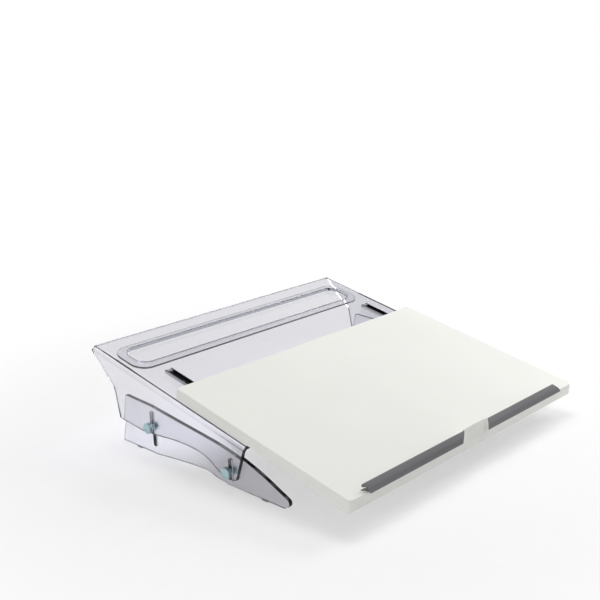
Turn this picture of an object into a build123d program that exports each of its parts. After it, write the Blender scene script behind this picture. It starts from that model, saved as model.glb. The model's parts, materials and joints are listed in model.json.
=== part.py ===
from build123d import *
import os
from math import radians, cos, pi, sin, sqrt

os.makedirs("parts", exist_ok=True)

# Sloped document holder with a pull-out writing tray. Millimetres, +Z up, the user sits
# on the -Y side. The origin lies on the desk, under the middle of the whole object.
# Three measures are used. x is from the centre line. t runs up the slope from the front
# edge of the tray, and d is square to the slope, from the tray's top. On the upright sides,
# y runs back from the tray's front edge and z is the height over the desk.

# ---------------------------------------------------------------- driving dimensions
slope_angle = 12.05
front_y = -247.0            # the tray's front top edge, when pulled out
tray_front_height = 48.0    # height of that edge over the desk

tray_width = 508.0
tray_depth = 321.0
tray_front_t = -3.0
tray_sheet = 3.0
front_skirt = 18.0
side_skirt = 15.5           # where the tray passes over the deck
side_skirt_t = (16.0, 62.0)  # start and end of the side skirt's taper
rear_lip = 6.0
tray_edge_radius = 2.5
tray_corner_radius = 7.0

deck_margin = 6.0           # deck past the tray, at each side
deck_sheet = 6.0
deck_drop = 16.0            # deck top below tray top
deck_front_t = 172.5
deck_rear_t = 505.0
bend_radius = 9.0           # outside radius of the bent sheet
skirt_depth = 150.0         # sheet bent down at the sides, before it is cut to its outline
# the side skirts' edge, as (y, z): rear corner, long arch and toe
skirt_rear = ((448.0, 84.0), (439.0, 39.0), (385.0, 33.0))
skirt_rear_radius = 14.0
skirt_arch = ((345.0, 35.5), (308.0, 38.2), (268.0, 36.8), (245.0, 31.5), (229.0, 22.5),
              (214.0, 15.0), (203.0, 13.5))
skirt_toe = (189.5, 16.0)

groove_inset = 30.0         # from the deck's sides
groove_t = (422.0, 470.0)   # front and rear edge
groove_radius = 18.0
groove_floor_sheet = 3.0
groove_floor_margin = 12.0

rail_inset = 39.5           # from the tray's sides to the middle of each slide
rail_t = (175.5, 381.0)
rail_width = 12.6
rail_height = 5.4
rail_steel = 0.9
rail_lip = (0.8, 0.7)       # width and thickness of the turned-in lips
rail_screw_inset = (24.0, 172.0)
rail_tab_height = 0.8
rail_stop = (5.0, 3.4)      # length and height of the rubber stop

runner_width = 7.0
runner_bottom = 2.1         # heights over the deck
runner_top = 5.2
runner_steel = 1.0
runner_tab_bottom = 1.4
runner_t = (84.4, 280.4)
runner_screw_inset = (24.0, 168.0)

cage_t = (178.0, 277.5)
cage_steel = 0.6
cage_web = (1.2, 1.7)       # bottom and top of the web
cage_top = 4.4
ball_radius = 0.85
ball_x = 4.45
ball_height = 3.2
ball_window_clearance = 0.1
balls_in_row = 5
ball_pitch = 22.0

leg_sheet = 6.0
leg_clearance = 0.3
# a leg's edge, as (y, z): rear foot, top, toe and arch
leg_heel = 444.0
leg_top = ((426.5, 78.0), (368.0, 75.0), (318.0, 68.5), (262.0, 61.5), (222.0, 56.0),
           (188.0, 48.5), (162.0, 40.5), (143.0, 33.8))
leg_toe = ((91.5, 11.0), (108.0, 1.2))
leg_toe_radius = 6.0
leg_arch = ((212.0, 1.2), (232.0, 4.0), (256.0, 9.0), (290.0, 8.0), (330.0, 4.4), (363.0, 1.2))
pad_height = 1.2
pad_length = 12.0
pad_y = (144.0, 405.0)
front_screw = (203.0, 25.0)  # (y, z)
rear_screw = (366.5, 44.0)
front_slot = (10.0, 43.0)   # bottom and top
rear_slot = (13.0, 67.0)
slot_width = 6.6

screw_radius = 3.0
screw_reach = 2.0           # past the nut
screw_head_radius = 8.0
screw_head_length = 7.0
screw_head_gap = 0.3        # between head and skirt
grip_ridges = 16
grip_ridge_height = 0.7
head_chamfer = 0.8
nut_width = 10.0
nut_length = 5.0
nut_clearance = 0.05

# ledge strips: their ends are cut on a slant, so the nose and the foot end at different x
strip_outer_inset = {"left": (26.0, 37.0), "right": (46.0, 36.0)}   # from the tray's sides
grip_x = {"left": (-18.5, -30.0), "right": (36.0, 29.0)}
strip_gap = 0.3             # between strip and grip
strip_t = (-5.0, 4.0)       # foot and nose
strip_foot = (-4.9, -1.6)   # the strips' section, as (t, d)
strip_face = ((-4.5, 0.0), (-1.2, 4.8), (3.9, 8.9))
strip_nose = ((5.0, 9.2), (5.2, 8.1))
strip_back = ((1.6, 4.9), (1.6, 1.0), (5.6, 1.0), (5.6, 0.0), (0.2, 0.0), (0.2, 3.6),
              (-3.2, -0.5), (-3.9, -1.9))
strip_notch_radius = 2.4    # finger notch in the left strip's outer end
strip_notch_inset = 31.5    # from the tray's side
strip_notch_t = 0.4
grip_face = ((-1.9, -8.0), (0.8, 0.5), (4.4, 9.2))
grip_nose = ((5.8, 9.9), (7.0, 8.6))
grip_back = 7.0
spacer_width = 9.0
spacer_length = 24.0
screw_shank = 1.3
screw_top = 2.2             # countersunk head
runner_shank = 1.1
runner_head = (2.0, 0.8)    # radius and height
runner_screw_length = 8.0

# ---------------------------------------------------------------- worked-out values
slope_radians = radians(slope_angle)
up_slope = Vector(0, cos(slope_radians), sin(slope_radians))
off_slope = Vector(0, -sin(slope_radians), cos(slope_radians))
slope = Plane(origin=(0, front_y, tray_front_height), x_dir=(1, 0, 0), z_dir=off_slope)
deck_top = slope.offset(-deck_drop)
tray_middle_t = tray_front_t + tray_depth / 2
deck_width = tray_width + 2 * deck_margin
groove_width = deck_width - 2 * groove_inset
rail_x = tray_width / 2 - rail_inset
groove_middle_t = sum(groove_t) / 2
groove_length = groove_t[1] - groove_t[0]
leg_outside = deck_width / 2 - deck_sheet - leg_clearance
leg_inside = leg_outside - leg_sheet
rail_screw_t = [rail_t[0] + inset for inset in rail_screw_inset]
runner_screw_t = [runner_t[0] + inset for inset in runner_screw_inset]
first_ball_t = sum(cage_t) / 2 - ball_pitch * (balls_in_row - 1) / 2
ball_t = [first_ball_t + ball_pitch * i for i in range(balls_in_row)]
ball_window = 2 * (ball_radius + ball_window_clearance)
facet_share = 2 - sqrt(2)   # makes all the facets of a ball equally wide
spacer_height = deck_drop - tray_sheet - runner_top
screw_spots = (front_screw, rear_screw)
sides = ((-1, "left"), (1, "right"))
rail_screw_spots = [(side * rail_x, t) for side, name in sides for t in rail_screw_t]
runner_screw_spots = [(side * rail_x, t) for side, name in sides for t in runner_screw_t]


def side_plane(x):
    """Upright plane at x, with local coordinates (y, z)."""
    return Plane(origin=(x, front_y, 0), x_dir=(0, 1, 0), z_dir=(1, 0, 0))


def slope_section(x):
    """Upright plane at x, with local coordinates (t, d)."""
    return Plane(origin=(x, front_y, tray_front_height), x_dir=up_slope, z_dir=(1, 0, 0))


def cross_plane(t):
    """Plane square to the slope at t: local x to the right, local y is height over the deck."""
    return Plane(origin=deck_top.origin + up_slope * t, x_dir=(1, 0, 0), z_dir=-up_slope)


def on_side(t, d):
    """The (y, z) of a place on the slope."""
    place = up_slope * t + off_slope * d
    return (place.Y, place.Z + tray_front_height)


# ---------------------------------------------------------------- clear bent body
deck_front_under = on_side(deck_front_t, -deck_drop - deck_sheet)
deck_rear_under = on_side(deck_rear_t, -deck_drop - deck_sheet)
above_deck = 170.0

with BuildPart() as deck_shell:
    with BuildSketch(cross_plane(deck_rear_t)) as bent_sheet:
        Rectangle(deck_width, skirt_depth, align=(Align.CENTER, Align.MAX))
        fillet(bent_sheet.vertices().group_by(Axis.Y)[-1], bend_radius)
        with BuildSketch(mode=Mode.PRIVATE) as hollow:
            with Locations((0, -deck_sheet)):
                Rectangle(deck_width - 2 * deck_sheet, skirt_depth,
                          align=(Align.CENTER, Align.MAX))
            fillet(hollow.vertices().group_by(Axis.Y)[-1], bend_radius - deck_sheet)
        add(hollow.sketch, mode=Mode.SUBTRACT)
    extrude(amount=deck_rear_t - deck_front_t)
    # the outline of the side skirts: cut-away rear, long arch, toe and bowed front edge
    with BuildSketch(side_plane(-deck_width)):
        with BuildLine():
            FilletPolyline(deck_rear_under, *skirt_rear[:2], radius=skirt_rear_radius)
            Line(*skirt_rear[1:])
            Spline(skirt_rear[2], *skirt_arch, tangents=((-1, 0), (-1, 0)))
            Polyline(skirt_arch[-1], skirt_toe, deck_front_under)
            Polyline(deck_front_under, (deck_front_t - 20, deck_front_under[1]),
                     (deck_front_t - 20, above_deck), (deck_rear_t, above_deck),
                     (deck_rear_t, deck_rear_under[1]), deck_rear_under)
        make_face()
    extrude(amount=2 * deck_width, mode=Mode.INTERSECT)
    with BuildSketch(deck_top):
        with Locations((0, groove_middle_t)):
            RectangleRounded(groove_width, groove_length, groove_radius)
        with Locations(*rail_screw_spots):
            Circle(screw_shank)
    extrude(amount=-deck_sheet, mode=Mode.SUBTRACT)
    with BuildSketch(side_plane(-deck_width / 2)):
        with Locations(*screw_spots):
            Circle(slot_width / 2)
    extrude(amount=deck_width, mode=Mode.SUBTRACT)
deck_shell.part.label = "deck_shell"
export_step(deck_shell.part, "parts/deck_shell.step")

with BuildPart() as groove_floor:
    with BuildSketch(deck_top.offset(-deck_sheet)):
        with Locations((0, groove_middle_t)):
            RectangleRounded(groove_width + 2 * groove_floor_margin,
                             groove_length + 2 * groove_floor_margin,
                             groove_radius + groove_floor_margin / 2)
    extrude(amount=-groove_floor_sheet)
groove_floor.part.label = "groove_floor"
export_step(groove_floor.part, "parts/groove_floor.step")

# ---------------------------------------------------------------- ball slides
for side, name in sides:
    slide_x = side * rail_x

    # outer channel, with turned-in lips and a low tab that stops the ball cage
    with BuildPart() as rail:
        with BuildSketch(cross_plane(rail_t[1])):
            with Locations((slide_x, 0)):
                Rectangle(rail_width, rail_height, align=(Align.CENTER, Align.MIN))
            with Locations((slide_x, rail_steel)):
                Rectangle(rail_width - 2 * rail_steel, rail_height - rail_steel - rail_lip[1],
                          align=(Align.CENTER, Align.MIN), mode=Mode.SUBTRACT)
                Rectangle(rail_width - 2 * rail_steel - 2 * rail_lip[0], rail_height,
                          align=(Align.CENTER, Align.MIN), mode=Mode.SUBTRACT)
        extrude(amount=rail_t[1] - rail_t[0])
        with Locations(deck_top):
            with Locations((slide_x, rail_t[0], rail_steel)):
                Box(rail_width - 2 * rail_steel, rail_steel, rail_tab_height,
                    align=(Align.CENTER, Align.MIN, Align.MIN))
            with Locations(*[(slide_x, t, 0) for t in rail_screw_t]):
                Cone(screw_shank, screw_top, rail_steel,
                     align=(Align.CENTER, Align.CENTER, Align.MIN), mode=Mode.SUBTRACT)
    rail.part.label = f"rail_{name}"
    export_step(rail.part, f"parts/rail_{name}.step")

    # inner channel, upside down, closed at the rear by a turned-down tab
    with BuildPart() as runner:
        with BuildSketch(cross_plane(runner_t[1])):
            with Locations((slide_x, runner_bottom)):
                Rectangle(runner_width, runner_top - runner_bottom,
                          align=(Align.CENTER, Align.MIN))
                Rectangle(runner_width - 2 * runner_steel,
                          runner_top - runner_bottom - runner_steel,
                          align=(Align.CENTER, Align.MIN), mode=Mode.SUBTRACT)
        extrude(amount=runner_t[1] - runner_t[0])
        with Locations(deck_top):
            with Locations((slide_x, runner_t[1], runner_tab_bottom)):
                Box(runner_width - 2 * runner_steel, runner_steel,
                    runner_top - runner_tab_bottom, align=(Align.CENTER, Align.MAX, Align.MIN))
            with Locations(*[(slide_x, t, runner_top) for t in runner_screw_t]):
                Cylinder(runner_shank, runner_steel,
                         align=(Align.CENTER, Align.CENTER, Align.MAX), mode=Mode.SUBTRACT)
    runner.part.label = f"runner_{name}"
    export_step(runner.part, f"parts/runner_{name}.step")

    with BuildPart() as cage:
        with BuildSketch(cross_plane(cage_t[1])):
            with Locations((slide_x, cage_web[0])):
                Rectangle(2 * ball_x + cage_steel, cage_top - cage_web[0],
                          align=(Align.CENTER, Align.MIN))
            with Locations((slide_x, cage_web[1])):
                Rectangle(2 * ball_x - cage_steel, cage_top,
                          align=(Align.CENTER, Align.MIN), mode=Mode.SUBTRACT)
        extrude(amount=cage_t[1] - cage_t[0])
        with BuildSketch(slope_section(slide_x - 2 * ball_x)):
            with Locations(*[(t, ball_height - deck_drop) for t in ball_t]):
                Rectangle(ball_window, ball_window)
        extrude(amount=4 * ball_x, mode=Mode.SUBTRACT)
    cage.part.label = f"cage_{name}"
    export_step(cage.part, f"parts/cage_{name}.step")

    # each ball has 26 facets, which keeps a small round thing light
    with BuildPart() as balls:
        with Locations(deck_top):
            with Locations(*[(slide_x + edge * ball_x, t, ball_height)
                             for edge in (-1, 1) for t in ball_t]):
                Box(2 * ball_radius, 2 * ball_radius, 2 * ball_radius)
        chamfer(balls.edges(), ball_radius * facet_share)
    balls.part.label = f"balls_{name}"
    export_step(balls.part, f"parts/balls_{name}.step")

with BuildPart() as rail_screws:
    with Locations(deck_top):
        with Locations(*[(x, t, 0) for x, t in rail_screw_spots]):
            Cone(screw_shank, screw_top, rail_steel,
                 align=(Align.CENTER, Align.CENTER, Align.MIN))
            Cylinder(screw_shank, deck_sheet - 0.5,
                     align=(Align.CENTER, Align.CENTER, Align.MAX))
rail_screws.part.label = "rail_screws"
export_step(rail_screws.part, "parts/rail_screws.step")

with BuildPart() as rail_stops:
    with Locations(deck_top):
        with Locations(*[(side * rail_x, rail_t[1], rail_steel) for side, name in sides]):
            Box(rail_width - 2 * rail_steel, rail_stop[0], rail_stop[1],
                align=(Align.CENTER, Align.MAX, Align.MIN))
rail_stops.part.label = "rail_stops"
export_step(rail_stops.part, "parts/rail_stops.step")

# ---------------------------------------------------------------- clear leg panels
for side, name in sides:
    near_face = leg_inside if side > 0 else -leg_outside
    with BuildPart() as leg:
        with BuildSketch(side_plane(near_face)):
            with BuildLine():
                Line((leg_heel, pad_height), leg_top[0])
                Spline(*leg_top)
                FilletPolyline(leg_top[-1], *leg_toe, leg_arch[0], radius=leg_toe_radius)
                Spline(*leg_arch, tangents=((1, 0), (1, 0)))
                Line(leg_arch[-1], (leg_heel, pad_height))
            make_face()
            for (spot_y, spot_z), (low, high) in ((front_screw, front_slot),
                                                  (rear_screw, rear_slot)):
                with Locations((spot_y, (low + high) / 2)):
                    SlotOverall(high - low, slot_width, rotation=90, mode=Mode.SUBTRACT)
        extrude(amount=leg_sheet)
    leg.part.label = f"leg_{name}"
    export_step(leg.part, f"parts/leg_{name}.step")

    with BuildPart() as foot_pads:
        with BuildSketch(side_plane(near_face)):
            with Locations(*[(y, 0) for y in pad_y]):
                Rectangle(pad_length, pad_height, align=(Align.CENTER, Align.MIN))
        extrude(amount=leg_sheet)
    foot_pads.part.label = f"foot_pads_{name}"
    export_step(foot_pads.part, f"parts/foot_pads_{name}.step")

# ---------------------------------------------------------------- clamping screws
head_x = deck_width / 2 + screw_head_gap
shank_length = head_x - leg_inside + nut_length + screw_reach
ridged_rim = [((screw_head_radius - grip_ridge_height * (i % 2)) * cos(pi * i / grip_ridges),
               (screw_head_radius - grip_ridge_height * (i % 2)) * sin(pi * i / grip_ridges))
              for i in range(2 * grip_ridges)]
for side, name in sides:
    for (spot_y, spot_z), place in ((front_screw, "front"), (rear_screw, "rear")):
        outward = Plane(origin=(side * head_x, front_y + spot_y, spot_z), x_dir=(0, 1, 0),
                        z_dir=(side, 0, 0))
        with BuildPart() as thumbscrew:
            with BuildSketch(outward):
                with BuildLine():
                    Polyline(*ridged_rim, close=True)
                make_face()
            extrude(amount=screw_head_length)
            chamfer(thumbscrew.faces().sort_by(Axis.X)[-1 if side > 0 else 0].edges(),
                    head_chamfer)
            with BuildSketch(outward):
                Circle(screw_radius)
            extrude(amount=-shank_length)
        thumbscrew.part.label = f"thumbscrew_{place}_{name}"
        export_step(thumbscrew.part, f"parts/thumbscrew_{place}_{name}.step")

with BuildPart() as clamp_nuts:
    for side, name in sides:
        with BuildSketch(side_plane(side * (leg_inside - leg_clearance))):
            with Locations(*screw_spots):
                RegularPolygon(nut_width / 2, 6, major_radius=False)
                Circle(screw_radius + nut_clearance, mode=Mode.SUBTRACT)
        extrude(amount=-side * nut_length)
clamp_nuts.part.label = "clamp_nuts"
export_step(clamp_nuts.part, "parts/clamp_nuts.step")

# ---------------------------------------------------------------- pull-out tray
# finger grip: one steep face from the foot of the skirt to above the tray, seen from above
# as wide as the space between the ledge strips
grip_foot = (tray_front_t, -front_skirt)
grip_outline = [(grip_x["left"][0], strip_t[1]), (grip_x["left"][1], strip_t[0]),
                (grip_x["right"][1], strip_t[0]), (grip_x["right"][0], strip_t[1])]
with BuildPart() as grip:
    with BuildSketch(slope_section(-tray_width / 2)):
        with BuildLine():
            Line(grip_foot, grip_face[0])
            ThreePointArc(*grip_face)
            ThreePointArc(grip_face[-1], *grip_nose)
            Polyline(grip_nose[-1], (grip_back, 0), (grip_back + tray_sheet, 0),
                     (grip_back + tray_sheet, -tray_sheet), (grip_back - tray_sheet, -tray_sheet),
                     (0, -front_skirt), grip_foot)
        make_face()
    extrude(amount=tray_width)
    with BuildSketch(slope.offset(-front_skirt)):
        with BuildLine():
            Polyline(*grip_outline, (grip_x["right"][0], 2 * grip_back),
                     (grip_x["left"][0], 2 * grip_back), close=True)
        make_face()
    extrude(amount=2 * front_skirt, mode=Mode.INTERSECT)

with BuildPart() as tray_panel:
    with BuildSketch(slope):
        with Locations((0, tray_middle_t)):
            RectangleRounded(tray_width, tray_depth, tray_corner_radius)
    extrude(amount=-front_skirt)
    fillet(tray_panel.faces().sort_by(Axis.Z)[-1].edges(), tray_edge_radius)
    with BuildSketch(slope.offset(-tray_sheet)):
        with Locations((0, tray_middle_t)):
            RectangleRounded(tray_width - 2 * tray_sheet, tray_depth - 2 * tray_sheet,
                             tray_corner_radius - tray_sheet)
    extrude(amount=-front_skirt, mode=Mode.SUBTRACT)
    # the side skirts taper, so that they pass over the deck
    with BuildSketch(slope_section(-tray_width)):
        with BuildLine():
            Polyline((side_skirt_t[0], -front_skirt), (side_skirt_t[1], -side_skirt),
                     (tray_depth, -side_skirt), (tray_depth, -2 * front_skirt),
                     (side_skirt_t[0], -2 * front_skirt), close=True)
        make_face()
    extrude(amount=2 * tray_width, mode=Mode.SUBTRACT)
    # the rear edge has a shorter lip, which passes over the slides
    with BuildSketch(slope.offset(-rear_lip)):
        with Locations((0, tray_front_t + tray_depth)):
            Rectangle(tray_width - 2 * tray_sheet, 2 * tray_sheet)
    extrude(amount=-front_skirt, mode=Mode.SUBTRACT)
    # between the ledge strips the front edge gives way to the finger grip
    with BuildSketch(slope.offset(-2 * front_skirt)):
        with BuildLine():
            Polyline(*grip_outline, (grip_x["right"][0], grip_back),
                     (grip_x["left"][0], grip_back), close=True)
        make_face()
    extrude(amount=3 * front_skirt, mode=Mode.SUBTRACT)
    add(grip.part)
tray_panel.part.label = "tray_panel"
export_step(tray_panel.part, "parts/tray_panel.step")

# folded strips, with a nose that leans over the lower edge of the paper
for side, name in sides:
    outer = [side * (tray_width / 2 - inset) for inset in strip_outer_inset[name]]
    inner = [x + side * strip_gap for x in grip_x[name]]
    with BuildPart() as ledge:
        with BuildSketch(slope_section(-tray_width / 2)):
            with BuildLine():
                Line(strip_foot, strip_face[0])
                ThreePointArc(*strip_face)
                ThreePointArc(strip_face[-1], *strip_nose)
                Polyline(strip_nose[-1], *strip_back, strip_foot)
            make_face()
        extrude(amount=tray_width)
        # the ends, drawn from above
        with BuildSketch(slope.offset(-front_skirt)):
            with BuildLine():
                Polyline((outer[1], strip_t[0]), (inner[1], strip_t[0]), (inner[0], strip_t[1]),
                         (inner[0], 2 * grip_back), (outer[0], 2 * grip_back),
                         (outer[0], strip_t[1]), close=True)
            make_face()
            if side < 0:
                with Locations((strip_notch_inset - tray_width / 2, strip_notch_t)):
                    Circle(strip_notch_radius, mode=Mode.SUBTRACT)
        extrude(amount=2 * front_skirt, mode=Mode.INTERSECT)
    ledge.part.label = f"ledge_{name}"
    export_step(ledge.part, f"parts/ledge_{name}.step")

with BuildPart() as runner_spacers:
    with Locations(slope.offset(-tray_sheet)):
        with Locations(*[(x, t, 0) for x, t in runner_screw_spots]):
            Box(spacer_width, spacer_length, spacer_height,
                align=(Align.CENTER, Align.CENTER, Align.MAX))
            Cylinder(runner_shank, spacer_height,
                     align=(Align.CENTER, Align.CENTER, Align.MAX), mode=Mode.SUBTRACT)
runner_spacers.part.label = "runner_spacers"
export_step(runner_spacers.part, "parts/runner_spacers.step")

with BuildPart() as runner_screws:
    with Locations(deck_top.offset(runner_top - runner_steel)):
        with Locations(*[(x, t, 0) for x, t in runner_screw_spots]):
            Cylinder(*runner_head, align=(Align.CENTER, Align.CENTER, Align.MAX))
            Cylinder(runner_shank, runner_screw_length,
                     align=(Align.CENTER, Align.CENTER, Align.MIN))
runner_screws.part.label = "runner_screws"
export_step(runner_screws.part, "parts/runner_screws.step")
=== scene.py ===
import json
import math

import bpy
import numpy as np
from bpy.props import FloatProperty, FloatVectorProperty, IntProperty, PointerProperty
from mathutils import Matrix, Vector
from mathutils.geometry import tessellate_polygon


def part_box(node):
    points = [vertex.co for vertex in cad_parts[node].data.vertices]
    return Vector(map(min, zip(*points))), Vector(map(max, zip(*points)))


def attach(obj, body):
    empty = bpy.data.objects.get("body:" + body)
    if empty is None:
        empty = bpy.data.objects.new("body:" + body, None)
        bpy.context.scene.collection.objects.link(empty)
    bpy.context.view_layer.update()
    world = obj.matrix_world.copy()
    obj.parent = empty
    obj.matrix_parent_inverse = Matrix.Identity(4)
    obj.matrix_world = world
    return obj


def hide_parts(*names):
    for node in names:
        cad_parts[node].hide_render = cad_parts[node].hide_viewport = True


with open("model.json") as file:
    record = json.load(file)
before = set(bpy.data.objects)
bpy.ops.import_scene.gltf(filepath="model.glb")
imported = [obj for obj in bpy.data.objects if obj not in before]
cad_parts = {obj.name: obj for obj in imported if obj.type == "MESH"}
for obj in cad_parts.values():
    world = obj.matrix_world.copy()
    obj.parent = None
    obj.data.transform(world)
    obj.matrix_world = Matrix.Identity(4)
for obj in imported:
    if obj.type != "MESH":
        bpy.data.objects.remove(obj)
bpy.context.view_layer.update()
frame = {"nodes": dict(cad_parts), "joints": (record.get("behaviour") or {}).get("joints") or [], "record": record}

bl_info = {
    "name": "Sloped Document Holder",
    "version": (1, 0, 0),
    "blender": (4, 5, 0),
    "location": "View3D > Sidebar > Document Holder",
    "description": "Builds the looks of a clear document holder with a pull-out tray",
    "category": "Object",
}

# Metres throughout. x is from the centre line. t runs up the slope from the tray's front top
# edge, and d is square to the slope, from the tray's top. On the upright sides, y runs back
# from that same edge and z is the height over the desk.

TURN = 2 * math.pi
QUARTER = math.pi / 2

slide_axis = next(j for j in frame["joints"] if j["name"] == "tray_slide")["axis"]
SLOPE = math.atan2(-slide_axis[2], -slide_axis[1])
ACROSS = np.array([1.0, 0.0, 0.0])
UP_SLOPE = np.array([0.0, math.cos(SLOPE), math.sin(SLOPE)])
OFF_SLOPE = np.array([0.0, -math.sin(SLOPE), math.cos(SLOPE)])
EDGE = np.array([0.0, -0.247, 0.048])       # the tray's front top edge, on the centre line
SIDES = ((-1, "left"), (1, "right"))
SCREW_SPOTS = {"front": (0.203, 0.025), "rear": (0.3665, 0.044)}    # (y, z) on each side


# ------------------------------------------------------------------ places and outlines
def on_slope(x, t, d):
    """Points EDGE + x ACROSS + t UP_SLOPE + d OFF_SLOPE, for arrays that broadcast."""
    x, t, d = np.broadcast_arrays(x, t, d)
    return EDGE + x[..., None] * ACROSS + t[..., None] * UP_SLOPE + d[..., None] * OFF_SLOPE


def slope_of_side(yz):
    """(t, d) of points (y, z) on an upright side: the side's plane turned by the slope."""
    y, z = yz[:, 0], yz[:, 1] - EDGE[2]
    return np.stack((y * UP_SLOPE[1] + z * UP_SLOPE[2], -y * UP_SLOPE[2] + z * UP_SLOPE[1]), 1)


def through(points, steps=8):
    """Catmull-Rom curve: each span is the cubic that meets its two points with the slopes of
    the chords beside them."""
    p = np.array(points, float)
    p = np.vstack((2 * p[0] - p[1], p, 2 * p[-1] - p[-2]))
    s = np.linspace(0, 1, steps, endpoint=False)[None, :, None]
    a, b, c, e = p[:-3, None], p[1:-2, None], p[2:-1, None], p[3:, None]
    curve = 0.5 * (2 * b + (c - a) * s + (2 * a - 5 * b + 4 * c - e) * s ** 2
                   + (3 * b - a - 3 * c + e) * s ** 3)
    return np.vstack((curve.reshape(-1, p.shape[1]), p[-2]))


def rounded(points, radii, steps=6, closed=True):
    """Polyline with round corners: at each corner an arc of the given radius, tangent to both
    runs, which starts radius * tan(turn / 2) before the corner."""
    p = np.array(points, float)
    radii = np.broadcast_to(radii, len(p))
    out = []
    for i, corner in enumerate(p):
        if not closed and i in (0, len(p) - 1) or radii[i] == 0:
            out.append(corner[None])
            continue
        back, ahead = p[i - 1] - corner, p[(i + 1) % len(p)] - corner
        back, ahead = back / np.linalg.norm(back), ahead / np.linalg.norm(ahead)
        half = math.acos(np.clip(back @ ahead, -1, 1)) / 2
        middle = (back + ahead) / np.linalg.norm(back + ahead)
        centre = corner + middle * radii[i] / math.sin(half)
        sweep = np.linspace(-1, 1, steps + 1) * (QUARTER - half)
        side = (ahead - back) / np.linalg.norm(ahead - back)
        out.append(centre + radii[i] * (-np.cos(sweep)[:, None] * middle
                                        + np.sin(sweep)[:, None] * side))
    out = np.vstack(out)
    keep = np.linalg.norm(out - np.roll(out, 1, 0), axis=1) > 1e-8
    keep[0] |= not closed
    return out[keep]


def oblong(width, length, radius, steps=8):
    """Rectangle about 0 with round corners, anticlockwise."""
    w, h = width / 2, length / 2
    return rounded(((-w, -h), (w, -h), (w, h), (-w, h)), radius, steps)


def circle(radius, steps=32):
    """Circle about 0, anticlockwise."""
    a = np.linspace(0, TURN, steps, endpoint=False)
    return radius * np.stack((np.cos(a), np.sin(a)), 1)


# ------------------------------------------------------------------ meshes
def put_mesh(name, points, faces, finish, body, normals=None, values=None, stands_for=()):
    """Makes a piece from arrays, at the origin, rides it on its body and gives it its finish."""
    mesh = bpy.data.meshes.new(name)
    mesh.from_pydata(points.tolist(), [], faces)
    mesh.validate()
    for key, value in (values or {}).items():
        layer = mesh.attributes.new(key, "FLOAT", "POINT")
        layer.data.foreach_set("value", np.asarray(value, np.float32))
    mesh.polygons.foreach_set("use_smooth", np.ones(len(mesh.polygons), bool))
    if normals is not None:
        mesh.normals_split_custom_set_from_vertices(normals.tolist())
    else:
        mesh.set_sharp_from_angle(angle=math.radians(38))
    mesh.update()
    piece = bpy.data.objects.new(name, mesh)
    bpy.context.scene.collection.objects.link(piece)
    mesh.materials.append(finish)
    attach(piece, body)
    if stands_for:
        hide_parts(*stands_for)
    return piece


def fill(loops):
    """Triangles, all anticlockwise, of a flat region with holes, indexed over the loops laid
    end to end."""
    flat = np.vstack(loops)
    found = tessellate_polygon([[Vector((*p, 0.0)) for p in loop] for loop in loops])
    tri = np.array(found, int)
    a, b, c = flat[tri[:, 0]], flat[tri[:, 1]], flat[tri[:, 2]]
    turned = np.cross(b - a, c - a) < 0
    tri[turned] = tri[turned][:, ::-1]
    return tri


def facing_out(points, quads, triangles):
    """Quads and triangles as one list of faces, all turned over if the volume that they close,
    the sum of a . (b x c) over their triangles, comes out negative."""
    every = np.vstack((quads[:, [0, 1, 2]], quads[:, [0, 2, 3]], triangles))
    a, b, c = points[every].swapaxes(0, 1)
    if np.sum(a * np.cross(b, c)) < 0:
        quads, triangles = quads[:, ::-1], triangles[:, ::-1]
    return quads.tolist() + triangles.tolist()


def spans_of(loops):
    """Indices of each loop's points, with the loops laid end to end."""
    ends = np.cumsum([len(loop) for loop in loops])
    return [np.arange(end - len(loop), end) for end, loop in zip(ends, loops)]


def outward(loop):
    """Unit normals to the right of a loop, halfway between those of the runs that meet."""
    ahead, back = np.roll(loop, -1, 0) - loop, loop - np.roll(loop, 1, 0)
    ahead = ahead / np.linalg.norm(ahead, axis=1)[:, None]
    back = back / np.linalg.norm(back, axis=1)[:, None]
    along = ahead + back
    along = along / np.linalg.norm(along, axis=1)[:, None]
    return np.stack((along[:, 1], -along[:, 0]), 1)


def corner_share(loop):
    """How sharply a loop turns at each point, from 0 on a straight run to 1 at 25 degrees."""
    ahead, back = np.roll(loop, -1, 0) - loop, loop - np.roll(loop, 1, 0)
    turn = np.cross(back, ahead) / (np.linalg.norm(back, axis=1) * np.linalg.norm(ahead, axis=1))
    return np.clip(np.abs(turn) / math.sin(math.radians(25)), 0, 1)


def flat_surface(origin, e_u, e_v):
    """Surface function of a plane: origin + u e_u + v e_v, less depth along the normal."""
    origin, e_u, e_v = (np.array(v, float) for v in (origin, e_u, e_v))
    normal = np.cross(e_u, e_v)

    def surface(uv, depth):
        points = origin + uv[:, :1] * e_u + uv[:, 1:] * e_v - np.reshape(depth, (-1, 1)) * normal
        size = (len(uv), 3)
        return (points, np.broadcast_to(e_u, size), np.broadcast_to(e_v, size),
                np.broadcast_to(normal, size))
    return surface


def sheet_rings(thickness, radius, steps=4):
    """Edge of a sheet as rings of (inset, depth, lean): a quarter round of the radius, the
    wall, and a quarter round again. Lean turns the normal from the front face to the back."""
    a = np.linspace(0, QUARTER, steps + 1)
    front = np.stack((radius * (1 - np.sin(a)), radius * (1 - np.cos(a)), a), 1)
    back = front[::-1] * (1, -1, -1) + (0, thickness, math.pi)
    return [tuple(row) for row in np.vstack((front, back))]


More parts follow.
